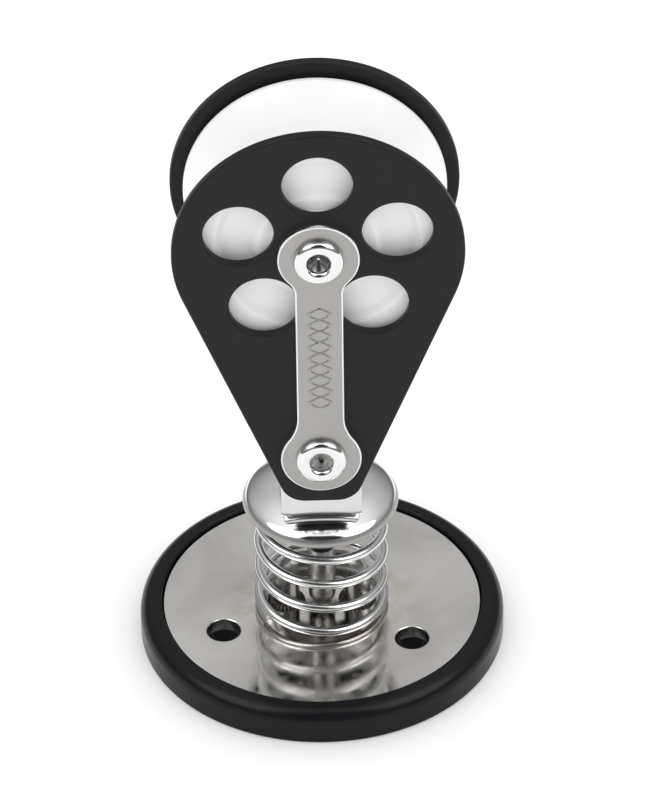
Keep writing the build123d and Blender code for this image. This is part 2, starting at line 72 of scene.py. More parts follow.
SPACER_LOW, SPACER_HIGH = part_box("head_spacer")
THRUST_LOW, THRUST_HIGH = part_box("thrust_washer_rear")

PLATE_TOP = PLATE_HIGH[2]
PLATE_RADIUS = PLATE_HIGH[0]
PAD_RADIUS = PAD_HIGH[0]
AXLE_Z = (AXLE_LOW[2] + AXLE_HIGH[2]) / 2
HEAD_PIN_Z = (HEAD_LOW[2] + HEAD_HIGH[2]) / 2
HALF_GAP = -CHEEK_HIGH[1]
CHEEK_FACE = -CHEEK_LOW[1]
STRAP_FACE = -STRAP_LOW[1]
PIN_FACE = -AXLE_LOW[1]

# ---- Sizes shared with the CAD source -----------------------------------------------------
PLATE_FIT = 0.25 * MM
PAD_SHOULDER = 3.4 * MM
BOLT_CIRCLE = 24.4 * MM
BOLT_HOLE = 3.75 * MM
PAD_HOLE = 4.1 * MM
BOLT_ANGLE = radians(84)
BOLT_COUNT = 3
CHEEK_RADIUS = CHEEK_HIGH[0]
CHEEK_FOOT_HALF_WIDTH = 7.35 * MM
CHEEK_FOOT_ROUND = 5.5 * MM
CHEEK_EDGE = 0.6 * MM
WINDOW_RADIUS = 7.4 * MM
WINDOW_EDGE = 0.8 * MM
WINDOW_CIRCLE = 17.9 * MM
WINDOW_ANGLES = (0.0, 71.7, 139.0, -139.0, -71.7)
PIN_HOLE = 4.0 * MM
STRAP_EYE = STRAP_HIGH[0]
STRAP_SHANK = 5.2 * MM
STRAP_TOP_NECK = 4.5 * MM
STRAP_FOOT_NECK = 10.0 * MM
WIRE = 1.05 * MM
COIL_RADIUS = SPRING_HIGH[0] - WIRE
COIL_START = radians(208)
FLAT_TURNS = 0.8
ACTIVE_TURNS = 3.9
COIL_GAP = 0.12 * MM
CUP_THICKNESS = 1.6 * MM
CUP_FLAT = 8.35 * MM
CUP_HOLE = 3.2 * MM
CUP_OVERHANG = 2.35 * MM
CUP_DOME = 15.7 * MM
CUP_ROLL = 3.2 * MM
CUP_ROLL_END = radians(78)
YOKE_THICKNESS = 2.5 * MM
YOKE_BEND = 1.6 * MM
YOKE_CORNER = 1.2 * MM
PIN_RADIUS = 3.97 * MM
PIN_HEAD = 5.5 * MM
EYE_BAR = 3.0 * MM
EYE_BEND = 4.5 * MM
BOW_RADIUS = 6.1 * MM
BOW_BAR = 3.0 * MM
EAR_RADIUS = 4.0 * MM
EAR_NEAR = 2.9 * MM
LEG_LAP = 1.2 * MM
SHACKLE_PIN = 2.5 * MM
NECK_RADIUS = 3.4 * MM
SHANK_RADIUS = 3.175 * MM
COLLAR_RADIUS = 6.2 * MM
COLLAR_HEIGHT = 1.5 * MM
SLEEVE_RADIUS = 6.35 * MM
BUSHING_RADIUS = 8.0 * MM

FLAT_FACING = 0.98          # faces this square to an axis count as a plate's flat side
WALL_FACING = 0.1           # faces this far from level count as a hole's wall
BOLT_STEPS = 48             # points round a screw hole
ROUND_STEPS = 144           # points round the base and the wheel
PIN_FIT = 0.03 * MM         # parts that don't turn on each other
RUNNING_FIT = 0.06 * MM     # parts that turn on each other
DARKER_ROLL_SHARE = 0.62           # the cup's roll takes the darker tumbled steel below this share of its radius
LOWER_TURNS = 1.6           # open turns in the coil's lower length


# ---- Shape helpers ------------------------------------------------------------------------
def arc(centre, radius, start, end, steps):
    """Points along an arc, both ends included, angles in radians."""
    turn = (end - start) / steps
    return [
        (centre[0] + radius * cos(start + turn * i), centre[1] + radius * sin(start + turn * i))
        for i in range(steps + 1)
    ]


def circle(radius, steps=64, centre=(0, 0)):
    """Closed round outline."""
    return arc(centre, radius, 0, tau, steps)[:-1]


def corner(before, here, after, radius, steps=8):
    """Rounded corner of an outline, as points along its arc."""
    here = Vector(here)
    a = (Vector(before) - here).normalized()
    b = (Vector(after) - here).normalized()
    half = a.angle(b) / 2
    middle = here + (a + b).normalized() * (radius / sin(half))
    start = here + a * (radius * cos(half) / sin(half)) - middle
    sweep = -start.angle_signed(here + b * (radius * cos(half) / sin(half)) - middle)
    first = atan2(start.y, start.x)
    return arc(middle, radius, first, first + sweep, steps)


def on_base(u, v, depth):
    """Outline drawn from above, standing at a height."""
    return Vector((u, v, depth))


def on_side(u, v, depth):
    """Outline drawn in X and Z, standing at a place along Y."""
    return Vector((u, depth, v))


def slab(bm, loops, place, near, far, near_round=0.0, far_round=0.0, steps=3):
    """Plate with holes between two depths, its edges rounded on either side."""
    towards = 1 if far > near else -1
    edges = []
    for points in loops:
        verts = [bm.verts.new(place(u, v, near + towards * near_round)) for u, v in points]
        edges += [bm.edges.new(pair) for pair in zip(verts, verts[1:] + verts[:1])]
    filled = bmesh.ops.triangle_fill(bm, edges=edges, use_beauty=True)["geom"]
    near_faces = [item for item in filled if isinstance(item, bmesh.types.BMFace)]
    drawn = bmesh.ops.extrude_face_region(bm, geom=near_faces, use_keep_orig=True)["geom"]
    far_faces = [item for item in drawn if isinstance(item, bmesh.types.BMFace)]
    moved = [item for item in drawn if isinstance(item, bmesh.types.BMVert)]
    length = far - near - towards * (near_round + far_round)
    bmesh.ops.translate(bm, verts=moved, vec=place(0, 0, length) - place(0, 0, 0))
    bmesh.ops.recalc_face_normals(bm, faces=bm.faces)
    for faces, size in ((near_faces, near_round), (far_faces, far_round)):
        if size:
            soften(bm, faces, size, steps)


def soften(bm, faces, size, steps):
    """Raise a flat region in steps that follow a quarter round."""
    for i in range(steps):
        low, high = pi / 2 * i / steps, pi / 2 * (i + 1) / steps
        bmesh.ops.inset_region(
            bm, faces=faces, use_boundary=True, use_even_offset=True,
            thickness=size * (cos(low) - cos(high)), depth=size * (sin(high) - sin(low)))


def turn(bm, profile, centre=(0, 0, 0), axis=Z, steps=96, closed=True):
    """Spin a profile of (radius, height) pairs about an axis through centre."""
    centre = Vector(centre)
    across = X if axis in (Y, Z) else Z
    verts = [bm.verts.new(centre + across * r + axis * h) for r, h in profile]
    pairs = list(zip(verts, verts[1:] + verts[:1])) if closed else list(zip(verts, verts[1:]))
    edges = [bm.edges.new(pair) for pair in pairs]
    bmesh.ops.spin(
        bm, geom=verts + edges, cent=centre, axis=axis, angle=tau, steps=steps, use_merge=True)
    bmesh.ops.remove_doubles(bm, verts=bm.verts, dist=0.001 * MM)
    bmesh.ops.recalc_face_normals(bm, faces=bm.faces)


def round_box(profile_low, profile_high, size, steps=4):
    """Closed (radius, height) profile of a ring or disc with four rounded corners."""
    (r0, h0), (r1, h1) = profile_low, profile_high
    inner = [(r0, h0), (r0, h1)] if r0 == 0 else (
        arc((r0 + size, h0 + size), size, 1.5 * pi, pi, steps)
        + arc((r0 + size, h1 - size), size, pi, pi / 2, steps))
    return (inner + arc((r1 - size, h1 - size), size, pi / 2, 0, steps)
            + arc((r1 - size, h0 + size), size, 0, -pi / 2, steps))


def ease(start, end, steps=8):
    """Soft step in a profile, flat where it starts and ends."""
    return [
        (start[0] + (end[0] - start[0]) * i / steps,
         start[1] + (end[1] - start[1]) * (1 - cos(pi * i / steps)) / 2)
        for i in range(steps + 1)
    ]


def bar_start(bm, centre, direction, radius, steps=24):
    """Round section that a bent bar or wire starts from."""
    turn_to = Z.rotation_difference(Vector(direction)).to_matrix().to_4x4()
    place = Matrix.Translation(centre) @ turn_to
    made = bmesh.ops.create_circle(bm, cap_ends=True, segments=steps, radius=radius, matrix=place)
    return list({face for vert in made["verts"] for face in vert.link_faces})


def bar_run(bm, faces, vector):
    """Carry a bar straight on and return its new end."""
    drawn = bmesh.ops.extrude_face_region(bm, geom=faces)["geom"]
    bmesh.ops.translate(
        bm, verts=[item for item in drawn if isinstance(item, bmesh.types.BMVert)], vec=vector)
    return [item for item in drawn if isinstance(item, bmesh.types.BMFace)]


def bar_bend(bm, faces, centre, axis, angle, steps, climb=(0, 0, 0)):
    """Carry a bar round a bend, or up a coil when it climbs, and return its new end."""
    geom = faces + list({edge for face in faces for edge in face.edges})
    geom += list({vert for face in faces for vert in face.verts})
    last = bmesh.ops.spin(
        bm, geom=geom, cent=centre, axis=axis, angle=angle, steps=steps, dvec=climb)["geom_last"]
    return [item for item in last if isinstance(item, bmesh.types.BMFace)]


def piece(name, bm, body, material, nodes=(), sharp=32.0, second=None, second_faces=()):
    """Finish a bmesh as an object that rides on a body and stands for CAD nodes."""
    for face in second_faces:
        face.material_index = 1
    mesh = bpy.data.meshes.new(name)
    bm.to_mesh(mesh)
    bm.free()
    mesh.shade_smooth()
    mesh.set_sharp_from_angle(angle=radians(sharp))
    made = bpy.data.objects.new(name, mesh)
    bpy.context.scene.collection.objects.link(made)
    mesh.materials.append(material)
    if second:
        mesh.materials.append(second)
    normals = made.modifiers.new("even shading", "WEIGHTED_NORMAL")
    normals.keep_sharp = True
    if nodes:
        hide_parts(*nodes)
    if body:
        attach(made, body)
    return made


# ---- Shared finishes ----------------------------------------------------------------------
def node_group(name, inputs, outputs):
    """Empty shader group with named sockets."""
    group = bpy.data.node_groups.new(name, "ShaderNodeTree")
    kinds = {"value": "NodeSocketFloat", "vector": "NodeSocketVector", "colour": "NodeSocketColor"}
    for label, kind, default in inputs:
        socket = group.interface.new_socket(label, in_out="INPUT", socket_type=kinds[kind])
        if default is not None:
            socket.default_value = default
    for label, kind in outputs:
        group.interface.new_socket(label, in_out="OUTPUT", socket_type=kinds[kind])
    return group, group.nodes.new("NodeGroupInput"), group.nodes.new("NodeGroupOutput")


def add(tree, kind, **settings):
    """New shader node with its settings and plain input values."""
    node = tree.nodes.new(kind)
    for key, value in settings.items():
        if key in node.inputs:
            node.inputs[key].default_value = value
        else:
            setattr(node, key, value)
    return node


def grain_group():
    """Fine all-over grain: a roughness that varies and a bumped normal."""
    group, given, out = node_group(
        "fine grain",
        [("Vector", "vector", None), ("Scale", "value", 900.0), ("Bump", "value", 0.1),
         ("Roughness", "value", 0.4), ("Spread", "value", 0.1)],
        [("Roughness", "value"), ("Normal", "vector"), ("Mask", "value")])
    noise = add(group, "ShaderNodeTexNoise", Detail=4.0, Roughness=0.6)
    level = add(group, "ShaderNodeMapRange")
    span = add(group, "ShaderNodeMath", operation="MULTIPLY_ADD")
    centred = add(group, "ShaderNodeMath", operation="SUBTRACT")
    centred.inputs[1].default_value = 0.5
    bump = add(group, "ShaderNodeBump", Distance=0.0002)
    link = group.links.new
    link(given.outputs["Vector"], noise.inputs["Vector"])
    link(given.outputs["Scale"], noise.inputs["Scale"])
    link(noise.outputs["Fac"], level.inputs["Value"])
    level.inputs["From Min"].default_value = 0.3
    level.inputs["From Max"].default_value = 0.7
    link(level.outputs["Result"], centred.inputs[0])
    link(centred.outputs["Value"], span.inputs[0])
    link(given.outputs["Spread"], span.inputs[1])
    link(given.outputs["Roughness"], span.inputs[2])
    link(given.outputs["Bump"], bump.inputs["Strength"])
    link(noise.outputs["Fac"], bump.inputs["Height"])
    link(span.outputs["Value"], out.inputs["Roughness"])
    link(bump.outputs["Normal"], out.inputs["Normal"])
    link(level.outputs["Result"], out.inputs["Mask"])
    return group


def smudge_group():
    """Slow cloudy change from one colour to another, with its mask."""
    group, given, out = node_group(
        "smudges",
        [("Vector", "vector", None), ("Scale", "value", 40.0), ("Amount", "value", 0.5),
         ("Light", "colour", (1, 1, 1, 1)), ("Dark", "colour", (0.5, 0.5, 0.5, 1))],
        [("Color", "colour"), ("Mask", "value")])
    noise = add(group, "ShaderNodeTexNoise", Detail=3.0, Roughness=0.55, Distortion=0.6)
    level = add(group, "ShaderNodeMapRange")
    amount = add(group, "ShaderNodeMath", operation="MULTIPLY")
    mix = add(group, "ShaderNodeMix", data_type="RGBA")
    link = group.links.new
    link(given.outputs["Vector"], noise.inputs["Vector"])
    link(given.outputs["Scale"], noise.inputs["Scale"])
    link(noise.outputs["Fac"], level.inputs["Value"])
    level.inputs["From Min"].default_value = 0.35
    level.inputs["From Max"].default_value = 0.65
    link(level.outputs["Result"], amount.inputs[0])
    link(given.outputs["Amount"], amount.inputs[1])
    link(amount.outputs["Value"], mix.inputs["Factor"])
    link(given.outputs["Light"], mix.inputs["A"])
    link(given.outputs["Dark"], mix.inputs["B"])
    link(mix.outputs["Result"], out.inputs["Color"])
    link(amount.outputs["Value"], out.inputs["Mask"])
    return group


FINE_GRAIN = grain_group()
SMUDGES = smudge_group()


def finish(name, light, dark, metallic, roughness, spread, grain, bump, cloud=40.0, amount=0.5,
           stretch=(1, 1, 1), **shader):
    """Material with cloudy colour and fine grain on the piece's own coordinates."""
    material = bpy.data.materials.new(name)
    material.use_nodes = True
    tree = material.node_tree
    surface = tree.nodes["Principled BSDF"]
    surface.inputs["Metallic"].default_value = metallic
    for label, value in shader.items():
        surface.inputs[label.replace("_", " ")].default_value = value
    where = add(tree, "ShaderNodeTexCoord")
    mapping = add(tree, "ShaderNodeMapping", Scale=stretch)
    clouds = add(tree, "ShaderNodeGroup", node_tree=SMUDGES)
    clouds.inputs["Scale"].default_value = cloud
    clouds.inputs["Amount"].default_value = amount
    clouds.inputs["Light"].default_value = (*light, 1)
    clouds.inputs["Dark"].default_value = (*dark, 1)
    fine = add(tree, "ShaderNodeGroup", node_tree=FINE_GRAIN)
    fine.inputs["Scale"].default_value = grain
    fine.inputs["Bump"].default_value = bump
    fine.inputs["Roughness"].default_value = roughness
    fine.inputs["Spread"].default_value = spread
    link = tree.links.new
    link(where.outputs["Object"], clouds.inputs["Vector"])
    link(where.outputs["Object"], mapping.inputs["Vector"])
    link(mapping.outputs["Vector"], fine.inputs["Vector"])
    link(clouds.outputs["Color"], surface.inputs["Base Color"])
    link(fine.outputs["Roughness"], surface.inputs["Roughness"])
    link(fine.outputs["Normal"], surface.inputs["Normal"])
    return material


def spot(tree, where, centre, near, far):
    """Mask that is 1 within one distance of a point and 0 beyond another."""
    away = add(tree, "ShaderNodeVectorMath", operation="DISTANCE")
    away.inputs[1].default_value = centre
    fade = add(tree, "ShaderNodeMapRange", interpolation_type="SMOOTHSTEP")
    fade.inputs["From Min"].default_value = near
    fade.inputs["From Max"].default_value = far
    fade.inputs["To Min"].default_value = 1.0
    fade.inputs["To Max"].default_value = 0.0
    tree.links.new(where, away.inputs[0])
    tree.links.new(away.outputs["Value"], fade.inputs["Value"])
    return fade.outputs["Result"]


def weld_haze(material):
    """Warm, cloudy heat stain on the base plate, in a ring round the spring's foot."""
    tree = material.node_tree
    surface = tree.nodes["Principled BSDF"]
    base = surface.inputs["Base Color"].links[0].from_socket
    where = tree.nodes["Texture Coordinate"].outputs["Object"]
    centre = (0, 0, PLATE_TOP)
    outer = spot(tree, where, centre, 17 * MM, 25 * MM)
    inner = spot(tree, where, centre, 11 * MM, 18 * MM)
    ring = add(tree, "ShaderNodeMath", operation="SUBTRACT")
    patches = add(
        tree, "ShaderNodeTexNoise", Scale=110.0, Detail=5.0, Roughness=0.6, Distortion=1.2)
    level = add(tree, "ShaderNodeMapRange")
    level.inputs["From Min"].default_value = 0.38
    level.inputs["From Max"].default_value = 0.66
    strength = add(tree, "ShaderNodeMath", operation="MULTIPLY")
    share = add(tree, "ShaderNodeMath", operation="MULTIPLY")
    share.inputs[1].default_value = 0.75
    mix = add(tree, "ShaderNodeMix", data_type="RGBA", blend_type="MULTIPLY")
    mix.inputs["B"].default_value = (0.8, 0.74, 0.66, 1)
    link = tree.links.new
    link(outer, ring.inputs[0])
    link(inner, ring.inputs[1])
    link(where, patches.inputs["Vector"])
    link(patches.outputs["Fac"], level.inputs["Value"])
    link(ring.outputs["Value"], strength.inputs[0])
    link(level.outputs["Result"], strength.inputs[1])
    link(strength.outputs["Value"], share.inputs[0])
    link(share.outputs["Value"], mix.inputs["Factor"])
    link(base, mix.inputs["A"])
    link(mix.outputs["Result"], surface.inputs["Base Color"])


BLACK_COAT = finish("black hard coat", (0.0125, 0.0125, 0.014), (0.0105, 0.0105, 0.012), 0.0,
                    0.5, 0.1, 3200, 0.08, cloud=30, Specular_IOR_Level=0.2)
BLACK_MOULDED = finish("black moulded pad", (0.007, 0.007, 0.0085), (0.009, 0.009, 0.0105), 0.0,
                       0.24, 0.05, 2600, 0.04, cloud=45, Specular_IOR_Level=0.14)
POLISHED = finish("polished stainless", (0.85, 0.85, 0.845), (0.78, 0.78, 0.78), 1.0,
                  0.055, 0.04, 700, 0.012, cloud=60)
WIRE_POLISH = finish("polished spring wire", (0.74, 0.74, 0.74), (0.64, 0.64, 0.65), 1.0,
                     0.19, 0.08, 1500, 0.03, cloud=120)
SATIN = finish("tumbled stainless", (0.4, 0.392, 0.38), (0.36, 0.352, 0.344), 1.0,
               0.36, 0.1, 3600, 0.1, cloud=70)
PLATE_FINISH = finish("rolled stainless plate", (0.8, 0.785, 0.76), (0.62, 0.605, 0.585), 1.0,
                      0.12, 0.12, 420, 0.025, cloud=36, amount=0.9)
weld_haze(PLATE_FINISH)
# Brighter steel for the straps' edges: partly a buffed finish, partly a painted highlight along
# the edges.
EDGE_HIGHLIGHT_STEEL = finish("buffed edge with painted highlight", (0.86, 0.86, 0.855), (0.78, 0.78, 0.78), 1.0,
                     0.17, 0.06, 900, 0.03, cloud=60)
CUP_POLISH = finish("polished spring cup", (0.84, 0.84, 0.835), (0.72, 0.72, 0.72), 1.0,
                    0.09, 0.06, 700, 0.02, cloud=60)
# Dark steel for the screw-hole walls and the pins' drilled points: its dark colour is painted
# shade inside these recesses.
SHADED_DRILL_STEEL = finish("drilled steel with painted shade", (0.36, 0.35, 0.34), (0.12, 0.115, 0.11), 1.0,
                 0.3, 0.15, 1800, 0.2, cloud=700, amount=0.8)
# Rough, dark steel for the cup's underside: the duller finish is real, the dark colour is painted
# shade under the cup.
SHADED_CUP_INSIDE = finish("dull pressed steel with painted shade", (0.14, 0.138, 0.135), (0.09, 0.088, 0.086), 1.0,
                     0.42, 0.1, 2200, 0.1, cloud=150)
FORGED = finish("barrel-polished forging", (0.36, 0.35, 0.335), (0.2, 0.195, 0.19), 1.0,
                0.3, 0.12, 1300, 0.1, cloud=160)
WELD_FINISH = finish("weld bead", (0.2, 0.185, 0.165), (0.1, 0.09, 0.085), 1.0,
                     0.42, 0.15, 1400, 0.2, cloud=400)
ACETAL = finish("white acetal", (0.93, 0.93, 0.925), (0.905, 0.905, 0.9), 0.0,
                0.36, 0.1, 1500, 0.04, cloud=50)
WASHER_PLASTIC = finish("natural washer plastic", (0.8, 0.79, 0.75), (0.74, 0.73, 0.69), 0.0,
                        0.5, 0.1, 1500, 0.05)
YOKE_FINISH = finish("brushed yoke strap", (0.72, 0.72, 0.71), (0.64, 0.64, 0.63), 1.0,
                     0.16, 0.08, 1100, 0.03, cloud=90, stretch=(0.15, 1, 1))
BRONZE = finish("oiled bronze", (0.5, 0.33, 0.17), (0.4, 0.25, 0.12), 1.0,
                0.35, 0.15, 1600, 0.1, cloud=200)


# ---- Base ---------------------------------------------------------------------------------
def bolt_loops(radius):
    """Outlines of the base's three screw holes."""
    return [
        circle(radius, BOLT_STEPS, (BOLT_CIRCLE * cos(BOLT_ANGLE + tau * i / BOLT_COUNT),
                                    BOLT_CIRCLE * sin(BOLT_ANGLE + tau * i / BOLT_COUNT)))
        for i in range(BOLT_COUNT)
    ]


def make_base_pad():
    """Moulded pad: a turned wall and shoulder joined to two holed discs."""
    bm = bmesh.new()
    recess = PLATE_RADIUS + PLATE_FIT
    foot = 0.6 * MM
    lip = 0.5 * MM
    floor = PLATE_LOW[2]
    top = PAD_HIGH[2]
    wall = (
        [(PAD_RADIUS - foot, 0)]
        + arc((PAD_RADIUS - foot, foot), foot, -pi / 2, 0, 4)[1:]
        + arc((PAD_RADIUS - PAD_SHOULDER, top - PAD_SHOULDER), PAD_SHOULDER, 0, pi / 2, 12)
        + arc((recess + lip, top - lip), lip, pi / 2, pi, 5)
        + [(recess, floor)]
    )
    turn(bm, wall, steps=ROUND_STEPS, closed=False)
    for height, radius in ((0, PAD_RADIUS - foot), (floor, recess)):
        rings = [circle(radius, ROUND_STEPS)] + bolt_loops(PAD_HOLE)
        edges = []
        for points in rings:
            verts = [bm.verts.new((u, v, height)) for u, v in points]
            edges += [bm.edges.new(pair) for pair in zip(verts, verts[1:] + verts[:1])]
        bmesh.ops.triangle_fill(bm, edges=edges, use_beauty=True)
        rims = edges[ROUND_STEPS:]
        for i in range(BOLT_COUNT):
            if height == 0:
                rim = rims[i * BOLT_STEPS:(i + 1) * BOLT_STEPS]
                drawn = bmesh.ops.extrude_edge_only(bm, edges=rim)["geom"]
                moved = [item for item in drawn if isinstance(item, bmesh.types.BMVert)]
                bmesh.ops.translate(bm, verts=moved, vec=(0, 0, floor))
    bmesh.ops.remove_doubles(bm, verts=bm.verts, dist=0.005 * MM)
    bmesh.ops.recalc_face_normals(bm, faces=bm.faces)
    return piece("round_base_pad", bm, "base", BLACK_MOULDED, ["base_pad"])


def make_base_plate():
    bm = bmesh.new()
    loops = [circle(PLATE_RADIUS, ROUND_STEPS)] + bolt_loops(BOLT_HOLE)
    slab(bm, loops, on_base, PLATE_LOW[2], PLATE_TOP, far_round=0.35 * MM)
    # The screw holes' walls take the dark steel: painted shade inside the holes.
    shaded_hole_walls = [face for face in bm.faces if abs(face.normal.z) < WALL_FACING
             and face.calc_center_median().xy.length < BOLT_CIRCLE + PAD_HOLE]
    return piece("polished_base_plate", bm, "base", PLATE_FINISH, ["base_plate"],
                 second=SHADED_DRILL_STEEL, second_faces=shaded_hole_walls)


# ---- Block --------------------------------------------------------------------------------
def cheek_outline():
    """Round top, straight sides that touch it, flat foot with rounded corners."""
    foot = CHEEK_LOW[2]
    drop = AXLE_Z - foot
    reach = hypot(CHEEK_FOOT_HALF_WIDTH, drop)
    lean = atan2(CHEEK_FOOT_HALF_WIDTH, drop) + acos(CHEEK_RADIUS / reach)
    top = arc((0, AXLE_Z), CHEEK_RADIUS, lean - pi / 2, 1.5 * pi - lean, 120)
    left, right = (-CHEEK_FOOT_HALF_WIDTH, foot), (CHEEK_FOOT_HALF_WIDTH, foot)
    return (top + corner(top[-1], left, right, CHEEK_FOOT_ROUND)
            + corner(left, right, top[0], CHEEK_FOOT_ROUND))


def make_cheek(side, name, node):
    """Drop-shaped plate with rolled outer edges and a wider round at each window."""
    bm = bmesh.new()
    loops = [cheek_outline()]
    for z in (AXLE_Z, HEAD_PIN_Z):
        loops.append(circle(PIN_HOLE, 40, (0, z)))
    for angle in WINDOW_ANGLES:
        turned = radians(90 - angle)
        centre = (WINDOW_CIRCLE * cos(turned), AXLE_Z + WINDOW_CIRCLE * sin(turned))
        loops.append(circle(WINDOW_RADIUS + WINDOW_EDGE - CHEEK_EDGE, 72, centre))
    slab(bm, loops, on_side, side * HALF_GAP, side * CHEEK_FACE, CHEEK_EDGE, CHEEK_EDGE, steps=4)
    return piece(name, bm, "block", BLACK_COAT, [node])


def strap_eye(z, up, neck):
    """Round end of a strap with its two concave necks; up is 1 at the top, -1 at the foot."""
    reach = STRAP_EYE + neck
    side = STRAP_SHANK + neck
    drop = sqrt(reach ** 2 - side ** 2)
    lean = atan2(drop, side)
    points = arc((side, -drop), neck, pi, pi - lean, 12)[:-1]
    points += arc((0, 0), STRAP_EYE, -lean, pi + lean, 60)
    points += arc((-side, -drop), neck, lean, 0, 12)[1:]
    return [(u * up, z + v * up) for u, v in points]


def strap_outline():
    """Dog-bone outline: two round eyes and a narrower shank."""
    return strap_eye(AXLE_Z, 1, STRAP_TOP_NECK) + strap_eye(HEAD_PIN_Z, -1, STRAP_FOOT_NECK)


def stamp_rope_twist(bm):
    """Raised twist of two strands down the shank: a plain maker's ornament."""
    steps = 108
    length = 27 * MM
    reach = 2.25 * MM
    waves = 4.5
    bead = 0.5 * MM
    proud = 0.22 * MM
    top = (AXLE_Z + HEAD_PIN_Z) / 2 + length / 2 + 0.7 * MM
    start = Vector((0, -STRAP_FACE + bead - proud, top))
    for side in (-1, 1):
        end = bar_start(bm, start, Z, bead, 10)
        for i in range(steps):
            here, there = (side * reach * sin(tau * waves * n / steps) for n in (i, i + 1))
            end = bar_run(bm, end, (there - here, 0, -length / steps))
    bmesh.ops.recalc_face_normals(bm, faces=bm.faces)


def make_strap(side, name, node):
    bm = bmesh.new()
    loops = [strap_outline()] + [circle(PIN_HOLE, 40, (0, z)) for z in (AXLE_Z, HEAD_PIN_Z)]
    slab(bm, loops, on_side, side * CHEEK_FACE, side * STRAP_FACE, 0, 0.42 * MM, steps=2)
    # The strap's edge faces take the brighter steel: partly buffed, partly a painted highlight.
    edge = [face for face in bm.faces if abs(face.normal.y) < FLAT_FACING]
    if side < 0:
        stamp_rope_twist(bm)
    return piece(name, bm, "block", SATIN, [node],
                 second=EDGE_HIGHLIGHT_STEEL, second_faces=edge)


def make_pin(z, name, node, drill):
    """Swaged pin: each head is a flat ring, rolled at its edge and into its drilled point."""
    seat = STRAP_FACE
    face = PIN_FACE
    undercut = 0.25 * MM
    roll = 1.3 * MM
    throat = 2.45 * MM
    throat_round = 1.0 * MM
    half = [(PIN_RADIUS, 0), (PIN_RADIUS, seat),
            (PIN_HEAD - undercut, seat), (PIN_HEAD, seat + undercut)]
    half += arc((PIN_HEAD - roll, face - roll), roll, 0, pi / 2, 12)[1:]
    half += arc((throat + throat_round, face - throat_round), throat_round, pi / 2, pi, 10)
    cone_start = len(half) - 1
    half += [(r * MM, face - depth * MM) for r, depth in drill]
    profile = [(r, -h) for r, h in reversed(half[1:])] + half[1:]
    bm = bmesh.new()
    turn(bm, profile, centre=(0, 0, z), axis=Y, steps=80, closed=False)
    start = half[cone_start][1] + 0.01 * MM
    # The drilled point's faces take the dark steel: painted shade in the recess.
    drilled = []
    for face in bm.faces:
        middle = face.calc_center_median()
        off_axis = (middle - Vector((0, middle.y, z))).length
        if off_axis < throat and seat < abs(middle.y) < start:
            drilled.append(face)
    return piece(name, bm, "block", POLISHED, [node],
                 second=SHADED_DRILL_STEEL, second_faces=drilled)


def make_sheave():
    """Turned wheel: bore, raised hub, soft side recess, rounded rim and shallow groove."""
    half = SHEAVE_HIGH[1]
    rim = SHEAVE_HIGH[0]
    land = 1.2 * MM
    depth = 3.0 * MM
    hub = 12.4 * MM
    rim_inside = rim - 5.775 * MM
    recess = 1.2 * MM
    draft = 2.4 * MM
    edge = 0.5 * MM
    run = half - land
    groove_radius = (run ** 2 + depth ** 2) / (2 * depth)
    spread = asin(run / groove_radius)
    side = [(BUSHING_RADIUS, half - edge / 2), (BUSHING_RADIUS + edge / 2, half)]
    side += ease((hub, half), (hub + draft, half - recess))
    side += ease((rim_inside - draft, half - recess), (rim_inside, half))
    side += arc((rim - edge, half - edge), edge, pi / 2, 0, 5)
    centre = rim - depth + groove_radius
    groove = arc((centre, 0), groove_radius, pi - spread, pi + spread, 28)
    profile = side + groove + [(r, -h) for r, h in reversed(side)]
    bm = bmesh.new()
    turn(bm, profile, centre=(0, 0, AXLE_Z), axis=Y, steps=ROUND_STEPS)
    return piece("white_sheave_wheel", bm, "wheel", ACETAL, ["sheave"])


def square_corners(bm, web, bend_z, radius):
    """Draw the outside of a strap's bends out to a tighter corner."""
    inset = radius - YOKE_CORNER
    for vert in bm.verts:
        out, down = abs(vert.co.y) - web, bend_z - vert.co.z
        if out < 0 or down < 0 or abs(hypot(out, down) - radius) > 0.05 * MM:
            continue
        turned = atan2(down, out)
        reach_out = min(radius, radius / tan(turned)) if turned > 0.01 else radius
        reach_down = min(radius, radius * tan(turned)) if turned < pi / 2 - 0.01 else radius
        corner_out, corner_down = max(reach_out - inset, 0), max(reach_down - inset, 0)
        if corner_out and corner_down:
            share = YOKE_CORNER / hypot(corner_out, corner_down)
            reach_out, reach_down = inset + corner_out * share, inset + corner_down * share
        vert.co.y = (web + reach_out) * (1 if vert.co.y > 0 else -1)
        vert.co.z = bend_z - reach_down


